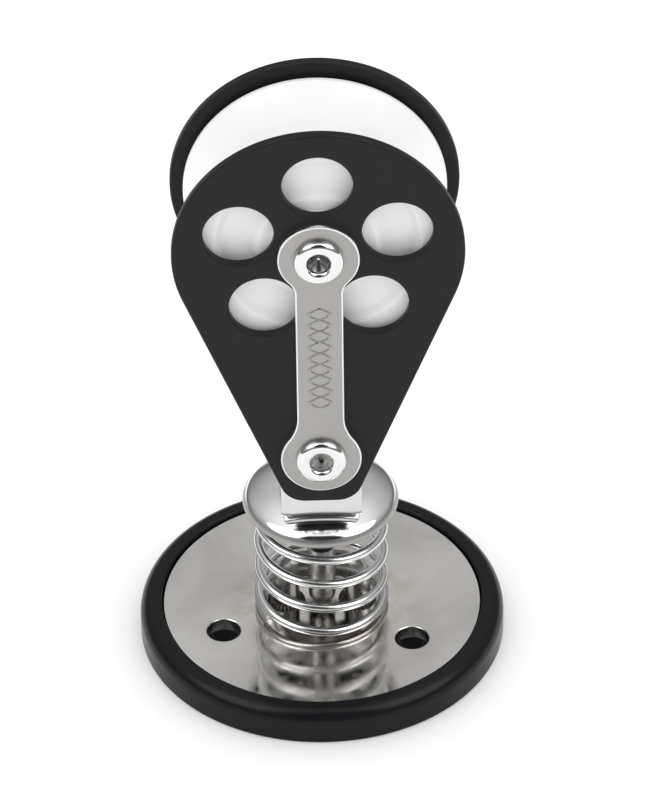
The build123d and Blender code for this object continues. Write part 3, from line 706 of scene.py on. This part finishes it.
def make_yoke():
    """Bent strap: a web that stands on the cup and two legs with round ends on the head pin."""
    bm = bmesh.new()
    width = YOKE_HIGH[0]
    inner = HALF_GAP - YOKE_THICKNESS
    web = inner - YOKE_BEND
    low = YOKE_LOW[2]
    bend_z = low + YOKE_THICKNESS + YOKE_BEND
    outline = [(-width, -web), (width, -web), (width, web), (-width, web)]
    slab(bm, [outline, circle(SHANK_RADIUS, 40)], on_base, low, low + YOKE_THICKNESS)
    for side in (-1, 1):
        bm.faces.ensure_lookup_table()
        end = [face for face in bm.faces if face.normal.y * side > FLAT_FACING
               and abs(face.calc_center_median().y * side - web) < 0.01 * MM]
        end = bar_bend(bm, end, (0, side * web, bend_z), X, side * pi / 2, 10)
        bmesh.ops.delete(bm, geom=end, context="FACES_ONLY")
    for side in (-1, 1):
        leg = bmesh.new()
        outline = [(-width, bend_z), (width, bend_z)] + arc((0, HEAD_PIN_Z), width, 0, pi, 48)
        holed = [outline, circle(PIN_HOLE, 40, (0, HEAD_PIN_Z))]
        slab(leg, holed, on_side, side * inner, side * HALF_GAP)
        foot = [face for face in leg.faces if face.normal.z < -FLAT_FACING
                and abs(face.calc_center_median().z - bend_z) < 0.01 * MM]
        bmesh.ops.delete(leg, geom=foot, context="FACES_ONLY")
        joined = bpy.data.meshes.new("yoke leg")
        leg.to_mesh(joined)
        leg.free()
        bm.from_mesh(joined)
        bpy.data.meshes.remove(joined)
    bmesh.ops.remove_doubles(bm, verts=bm.verts, dist=0.005 * MM)
    square_corners(bm, web, bend_z, YOKE_THICKNESS + YOKE_BEND)
    bmesh.ops.recalc_face_normals(bm, faces=bm.faces)
    made = piece("bent_head_yoke", bm, "block", YOKE_FINISH, ["head_yoke"])
    bevel = made.modifiers.new("rounded edges", "BEVEL")
    bevel.width = 0.35 * MM
    bevel.segments = 3
    bevel.limit_method = "ANGLE"
    bevel.angle_limit = radians(40)
    made.modifiers.move(1, 0)
    return made


def make_ring(name, body, material, node, inner, outer, low, high, axis=Z, z=0.0,
              edge=0.15 * MM):
    """Plain turned ring or sleeve with rounded corners."""
    bm = bmesh.new()
    turn(bm, round_box((inner, low), (outer, high), edge), centre=(0, 0, z), axis=axis, steps=80)
    return piece(name, bm, body, material, [node])


def make_block_fittings():
    """Sleeve, bush, washers and spacer between the cheeks."""
    half = SHEAVE_HIGH[1]
    bore = PIN_RADIUS + PIN_FIT
    make_ring("fixed_axle_sleeve", "block", SATIN, "axle_sleeve",
              bore, SLEEVE_RADIUS, -HALF_GAP, HALF_GAP, Y, AXLE_Z)
    make_ring("bronze_sheave_bush", "wheel", BRONZE, "sheave_bushing",
              SLEEVE_RADIUS + RUNNING_FIT, BUSHING_RADIUS, -half, half, Y, AXLE_Z)
    make_ring("rear_thrust_washer", "block", WASHER_PLASTIC, "thrust_washer_rear",
              SLEEVE_RADIUS + PIN_FIT, THRUST_HIGH[0], THRUST_LOW[1], THRUST_HIGH[1], Y, AXLE_Z)
    make_ring("front_thrust_washer", "block", WASHER_PLASTIC,
              "thrust_washer_front",
              SLEEVE_RADIUS + PIN_FIT, THRUST_HIGH[0], -THRUST_HIGH[1], -THRUST_LOW[1], Y, AXLE_Z)
    make_ring("head_pin_spacer", "block", SATIN, "head_spacer",
              bore, SPACER_HIGH[0], SPACER_LOW[1], SPACER_HIGH[1], Y, HEAD_PIN_Z)


# ---- Pad eye, shackle and swivel post -----------------------------------------------------
def make_pad_eye():
    """Round bar bent into an arch, standing on the plate."""
    bm = bmesh.new()
    leg_x = EYE_HIGH[0] - EYE_BAR
    top = EYE_HIGH[2] - EYE_BAR
    straight = leg_x - EYE_BEND
    end = bar_start(bm, (-leg_x, 0, PLATE_TOP), Z, EYE_BAR, 32)
    end = bar_run(bm, end, (0, 0, top - EYE_BEND - PLATE_TOP))
    end = bar_bend(bm, end, (-straight, 0, top - EYE_BEND), Y, pi / 2, 12)
    end = bar_run(bm, end, (2 * straight, 0, 0))
    end = bar_bend(bm, end, (straight, 0, top - EYE_BEND), Y, pi / 2, 12)
    bar_run(bm, end, (0, 0, PLATE_TOP - top + EYE_BEND))
    bmesh.ops.recalc_face_normals(bm, faces=bm.faces)
    piece("bent_pad_eye", bm, "base", FORGED, ["pad_eye"])


def make_welds():
    """Bead round each foot of the pad eye, laid as overlapping ripples."""
    bm = bmesh.new()
    ripples = 26
    leg_x = EYE_HIGH[0] - EYE_BAR
    for foot in (-leg_x, leg_x):
        for i in range(ripples):
            around = Matrix.Rotation(tau * i / ripples, 4, "Z")
            out = Matrix.Translation((EYE_BAR + 0.3 * MM, 0, 0.2 * MM))
            lean = Matrix.Rotation(radians(35), 4, "Y")
            size = Matrix.Diagonal((1.15 * MM, 0.5 * MM, 0.8 * MM, 1))
            place = Matrix.Translation((foot, 0, PLATE_TOP)) @ around @ out @ lean @ size
            bmesh.ops.create_uvsphere(bm, u_segments=14, v_segments=8, radius=1.0, matrix=place)
    piece("rippled_weld_beads", bm, "base", WELD_FINISH, ["pad_eye_welds"], sharp=60)


def make_shackle():
    """Bow bar round the pad eye with a forged ear on each leg."""
    bm = bmesh.new()
    eye_z = EYE_HIGH[2] - EYE_BAR
    pin_z = (SHACKLE_PIN_LOW[2] + SHACKLE_PIN_HIGH[2]) / 2
    leg_end = pin_z - EAR_RADIUS + LEG_LAP
    end = bar_start(bm, (0, -BOW_RADIUS, leg_end), -Z, BOW_BAR, 32)
    end = bar_run(bm, end, (0, 0, eye_z - leg_end))
    end = bar_bend(bm, end, (0, 0, eye_z), X, pi, 28)
    bar_run(bm, end, (0, 0, leg_end - eye_z))
    bmesh.ops.recalc_face_normals(bm, faces=bm.faces)
    for low, high in ((EAR_NEAR, BOW_HIGH[1]), (BOW_LOW[1], -EAR_NEAR)):
        profile = round_box((SHACKLE_PIN, low), (EAR_RADIUS, high), 0.55 * MM, 5)
        turn(bm, profile, centre=(0, 0, pin_z), axis=Y, steps=64)
    piece("forged_shackle_bow", bm, "shackle", FORGED, ["shackle_bow"])

    bm = bmesh.new()
    head = SHACKLE_PIN_HIGH[0]
    low, high = SHACKLE_PIN_LOW[1], SHACKLE_PIN_HIGH[1]
    groove_low, groove_high = RING_LOW[1], RING_HIGH[1]
    groove = 2.0 * MM
    tip = 0.5 * MM
    dome = 0.7 * MM
    profile = [(0, low)] + arc((head - dome, low + dome), dome, -pi / 2, 0, 6)
    profile += [(head, BOW_LOW[1]), (SHACKLE_PIN, BOW_LOW[1]), (SHACKLE_PIN, groove_low),
                (groove, groove_low), (groove, groove_high), (SHACKLE_PIN, groove_high),
                (SHACKLE_PIN, high - tip), (SHACKLE_PIN - tip, high), (0, high)]
    turn(bm, profile, centre=(0, 0, pin_z), axis=Y, steps=48, closed=False)
    piece("headed_shackle_pin", bm, "shackle", POLISHED, ["shackle_pin"])

    bm = bmesh.new()
    wire = (groove_high - groove_low) / 2
    middle = (groove_low + groove_high) / 2
    radius = RING_HIGH[0] - wire
    gap = radians(50) / 2
    start = Vector((radius * sin(gap), middle, pin_z + radius * cos(gap)))
    end = bar_start(bm, start, (cos(gap), 0, -sin(gap)), wire, 12)
    bar_bend(bm, end, (0, middle, pin_z), Y, tau - 2 * gap, 48)
    bmesh.ops.recalc_face_normals(bm, faces=bm.faces)
    piece("shackle_pin_ring", bm, "shackle", WIRE_POLISH, ["shackle_ring"],
          sharp=50)


def make_swivel():
    """Post with a flat bored lug, round neck, collar and threaded end; its washer and nut."""
    bm = bmesh.new()
    pin_z = (SHACKLE_PIN_LOW[2] + SHACKLE_PIN_HIGH[2]) / 2
    lug = EAR_RADIUS
    half = EAR_NEAR - 0.1 * MM
    neck_z = pin_z + lug + 0.5 * MM
    collar_z = CUP_HIGH[2] - CUP_THICKNESS - COLLAR_HEIGHT
    turn(bm, round_box((SHACKLE_PIN + RUNNING_FIT, -half), (lug, half), 0.5 * MM, 4),
         centre=(0, 0, pin_z), axis=Y, steps=64)
    blade = [(-NECK_RADIUS, pin_z + 0.75 * lug), (NECK_RADIUS, pin_z + 0.75 * lug),
             (NECK_RADIUS, neck_z + 0.5 * MM), (-NECK_RADIUS, neck_z + 0.5 * MM)]
    slab(bm, [blade], on_side, -half, half, 0.3 * MM, 0.3 * MM)
    edge = 0.4 * MM
    pitch = 1.27 * MM
    crest = SHANK_RADIUS
    root = SHANK_RADIUS - 0.4 * MM
    top = POST_HIGH[2]
    profile = [(0, neck_z)] + arc((NECK_RADIUS - edge, neck_z + edge), edge, -pi / 2, 0, 4)
    profile += ease((NECK_RADIUS, collar_z - 1.2 * MM), (NECK_RADIUS + 0.8 * MM, collar_z), 4)[1:]
    profile += arc((COLLAR_RADIUS - edge, collar_z + edge), edge, -pi / 2, 0, 4)
    profile += arc((COLLAR_RADIUS - edge, collar_z + COLLAR_HEIGHT - edge), edge, 0, pi / 2, 4)
    profile += [(crest, collar_z + COLLAR_HEIGHT)]
    thread_z = NUT_LOW[2]
    while thread_z + pitch < top:
        profile += [(crest, thread_z), (root, thread_z + pitch / 2), (crest, thread_z + pitch)]
        thread_z += pitch
    profile += [(crest, top - 0.5 * MM), (crest - 0.5 * MM, top), (0, top)]
    turn(bm, profile, steps=64, closed=False)
    piece("swivel_post_forging", bm, "post", FORGED, ["swivel_post"])
    make_ring("flat_swivel_washer", "post", POLISHED, "swivel_washer",
              SHANK_RADIUS, WASHER_HIGH[0], WASHER_LOW[2], WASHER_HIGH[2])

    bm = bmesh.new()
    low, high = NUT_LOW[2], NUT_HIGH[2]
    flat = NUT_HIGH[1]
    point = NUT_HIGH[0]
    bore = SHANK_RADIUS
    fall = (point - flat) * 2 / 3
    crown = [(flat - 0.2 * MM + (point - flat + 0.2 * MM) * i / 10, high - fall * i / 10)
             for i in range(11)]
    profile = [(bore + 0.3 * MM, low), (bore, low + 0.3 * MM), (bore, high - 0.3 * MM),
               (bore + 0.3 * MM, high)] + crown
    profile += [(point, (low + high) / 2), (point, low)]
    turn(bm, profile, steps=96)
    for vert in bm.verts:
        across = hypot(vert.co.x, vert.co.y)
        from_flat = (atan2(vert.co.y, vert.co.x) % (pi / 3)) - pi / 6
        reach = flat / cos(from_flat)
        if across > reach:
            vert.co.x *= reach / across
            vert.co.y *= reach / across
    bmesh.ops.remove_doubles(bm, verts=bm.verts, dist=0.002 * MM)
    piece("swivel_lock_nut", bm, "post", POLISHED, ["swivel_nut"], sharp=20)


# ---- Cup and spring -----------------------------------------------------------------------
def make_spring_cup():
    """Spring cup: flat seat, shallow dome, rolled edge with a full round, and a duller inside
    darkened with painted shade.
    """
    top = CUP_HIGH[2]
    reach = CUP_DOME - CUP_ROLL
    meet = asin((SPRING_HIGH[0] + CUP_OVERHANG - CUP_FLAT - CUP_ROLL) / reach)
    dome = (CUP_FLAT, top - CUP_DOME)
    roll = (CUP_FLAT + reach * sin(meet), top - CUP_DOME + reach * cos(meet))
    middle = CUP_ROLL - CUP_THICKNESS / 2
    lip = (roll[0] + middle * sin(CUP_ROLL_END), roll[1] + middle * cos(CUP_ROLL_END))
    begin, turned, finish_angle = pi / 2, pi / 2 - meet, pi / 2 - CUP_ROLL_END
    profile = [(CUP_HOLE, top - CUP_THICKNESS), (CUP_HOLE, top)]
    profile += arc(dome, CUP_DOME, begin, turned, 16)
    profile += arc(roll, CUP_ROLL, turned, finish_angle, 16)[1:]
    profile += arc(lip, CUP_THICKNESS / 2, finish_angle, finish_angle - pi, 12)[1:]
    profile += arc(roll, CUP_ROLL - CUP_THICKNESS, finish_angle, turned, 12)[1:]
    profile += arc(dome, CUP_DOME - CUP_THICKNESS, turned, begin, 12)[1:]
    bm = bmesh.new()
    turn(bm, profile, steps=128)
    # Faces under the cup take the dark steel: painted shade beneath it.
    inside = {face for face in bm.faces
              if face.normal.z < 0 and face.calc_center_median().z > lip[1]}
    # Below that height the roll takes the darker tumbled steel, so the cup is darker towards its
    # lower edge.
    for face in bm.faces:
        if face.calc_center_median().z < roll[1] + CUP_ROLL * DARKER_ROLL_SHARE and face not in inside:
            face.material_index = 2
    made = piece("domed_spring_cup", bm, "post", CUP_POLISH, ["spring_cup"],
                 second=SHADED_CUP_INSIDE, second_faces=inside)
    made.data.materials.append(SATIN)
    return made


def make_spring():
    """Left-hand coil, made as a lower and an upper length."""
    low = SPRING_LOW[2] + WIRE
    high = SPRING_HIGH[2] - WIRE
    length = high - low
    open_part = 1 - FLAT_TURNS
    lift = 2 * WIRE + COIL_GAP - open_part * length / ACTIVE_TURNS
    flat_rise = lift / (1 - 2 * open_part / ACTIVE_TURNS)
    pitch = (length - 2 * flat_rise) / ACTIVE_TURNS
    upper_turns = ACTIVE_TURNS - LOWER_TURNS
    middle = low + flat_rise + LOWER_TURNS * pitch
    made = []
    for name, z, angle, stretches in (
        ("spring_lower_coil", low, COIL_START,
         ((FLAT_TURNS, flat_rise), (LOWER_TURNS, LOWER_TURNS * pitch))),
        ("spring_upper_coil", middle, COIL_START - tau * (FLAT_TURNS + LOWER_TURNS),
         ((upper_turns, upper_turns * pitch), (FLAT_TURNS, flat_rise))),
    ):
        bm = bmesh.new()
        start = Vector((COIL_RADIUS * cos(angle), COIL_RADIUS * sin(angle), z))
        along = Vector((sin(angle), -cos(angle), 0))
        end = bar_start(bm, start, along, WIRE, 16)
        for turns, rise in stretches:
            steps = round(turns * 64)
            end = bar_bend(bm, end, (0, 0, 0), Z, -tau * turns, steps, (0, 0, rise / steps))
        bmesh.ops.recalc_face_normals(bm, faces=bm.faces)
        made.append(piece(name, bm, None, WIRE_POLISH, sharp=50))
    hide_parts("return_spring")
    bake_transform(made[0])
    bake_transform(made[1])
    return made


make_base_pad()
make_base_plate()
make_cheek(-1, "front_cheek_plate", "cheek_front")
make_cheek(1, "rear_cheek_plate", "cheek_rear")
make_strap(-1, "front_strap", "strap_front")
make_strap(1, "rear_strap", "strap_rear")
make_pin(AXLE_Z, "swaged_axle_pin", "axle_pin", ((2.35, 1.15), (0.25, 2.5), (0, 2.5)))
make_pin(HEAD_PIN_Z, "swaged_head_pin", "head_pin",
         ((2.3, 1.1), (0.75, 1.3), (0.55, 1.45), (0.5, 2.3), (0, 2.4)))
make_sheave()
make_yoke()
make_block_fittings()
make_pad_eye()
make_welds()
make_shackle()
make_swivel()
make_spring_cup()
make_spring()


# ---- Stage, light and camera --------------------------------------------------------------
def make_floor():
    bm = bmesh.new()
    bmesh.ops.create_grid(bm, x_segments=1, y_segments=1, size=3.0)
    mesh = bpy.data.meshes.new("floor")
    bm.to_mesh(mesh)
    bm.free()
    floor = bpy.data.objects.new("floor", mesh)
    bpy.context.scene.collection.objects.link(floor)
    material = bpy.data.materials.new("pale floor")
    material.use_nodes = True
    surface = material.node_tree.nodes["Principled BSDF"]
    surface.inputs["Base Color"].default_value = (0.95, 0.95, 0.95, 1)
    surface.inputs["Roughness"].default_value = 0.9
    surface.inputs["Specular IOR Level"].default_value = 0.1
    surface.inputs["Emission Color"].default_value = (1, 1, 1, 1)
    surface.inputs["Emission Strength"].default_value = 0.12
    mesh.materials.append(material)


def facing(tree, towards, near, far):
    """Mask of the sky round a direction, full within one angle and gone past another."""
    elevation, azimuth = radians(towards[0]), radians(towards[1])
    aim = (sin(azimuth) * cos(elevation), -cos(azimuth) * cos(elevation), sin(elevation))
    dot = add(tree, "ShaderNodeVectorMath", operation="DOT_PRODUCT")
    dot.inputs[1].default_value = aim
    fade = add(tree, "ShaderNodeMapRange", interpolation_type="SMOOTHSTEP")
    fade.inputs["From Min"].default_value = cos(radians(far))
    fade.inputs["From Max"].default_value = cos(radians(near))
    tree.links.new(tree.nodes["sky direction"].outputs["Generated"], dot.inputs[0])
    tree.links.new(dot.outputs["Value"], fade.inputs["Value"])
    return fade.outputs["Result"]


def make_world():
    """White tent: even light on matt surfaces, and panels and dark gaps for polished ones."""
    world = bpy.data.worlds.new("studio tent")
    world.use_nodes = True
    tree = world.node_tree
    link = tree.links.new
    sky = tree.nodes["Background"]
    direction = add(tree, "ShaderNodeTexCoord", name="sky direction")
    height = add(tree, "ShaderNodeSeparateXYZ")
    link(direction.outputs["Generated"], height.inputs["Vector"])
    ramp = add(tree, "ShaderNodeValToRGB")
    stops = ((0.0, 0.75), (0.03, 0.5), (0.1, 0.13), (0.32, 0.3),
             (0.5, 0.46), (0.68, 0.6), (0.86, 1.0), (1.0, 1.25))
    while len(ramp.color_ramp.elements) < len(stops):
        ramp.color_ramp.elements.new(0.5)
    for element, (place, level) in zip(ramp.color_ramp.elements, stops):
        element.position = place
        element.color = (level, level, level, 1)
    link(height.outputs["Z"], ramp.inputs["Fac"])
    seen = ramp.outputs["Color"]
    for towards, near, far, level in (
        ((50, -66), 20, 25, 3.2), ((50, 66), 20, 25, 3.2), ((44, 0), 20, 30, 0.03),
    ):
        mix = add(tree, "ShaderNodeMix", data_type="RGBA")
        mix.inputs["B"].default_value = (level, level, level, 1)
        link(facing(tree, towards, near, far), mix.inputs["Factor"])
        link(seen, mix.inputs["A"])
        seen = mix.outputs["Result"]
    path = add(tree, "ShaderNodeLightPath")
    choose = add(tree, "ShaderNodeMix", data_type="RGBA")
    choose.inputs["A"].default_value = (1.08, 1.08, 1.08, 1)
    link(path.outputs["Is Glossy Ray"], choose.inputs["Factor"])
    link(seen, choose.inputs["B"])
    link(choose.outputs["Result"], sky.inputs["Color"])
    bpy.context.scene.world = world
    bpy.context.scene.view_settings.view_transform = "Standard"


def make_camera():
    elevation = radians(38.09)
    azimuth = radians(-1.24)
    roll = radians(-0.80)
    distance = 1.3986
    target = Vector((1.21 * MM, 0, PLATE_TOP + 56.9 * MM))
    data = bpy.data.cameras.new("camera")
    data.lens = 286.35
    data.sensor_width = 36.0
    camera = bpy.data.objects.new("camera", data)
    back = Vector((sin(azimuth) * cos(elevation), -cos(azimuth) * cos(elevation), sin(elevation)))
    camera.location = target + back * distance
    level = Euler((pi / 2 - elevation, 0, azimuth)).to_matrix()
    camera.rotation_euler = (level @ Matrix.Rotation(roll, 3, "Z")).to_euler()
    bpy.context.scene.collection.objects.link(camera)
    bpy.context.scene.camera = camera


make_floor()
make_world()
make_camera()
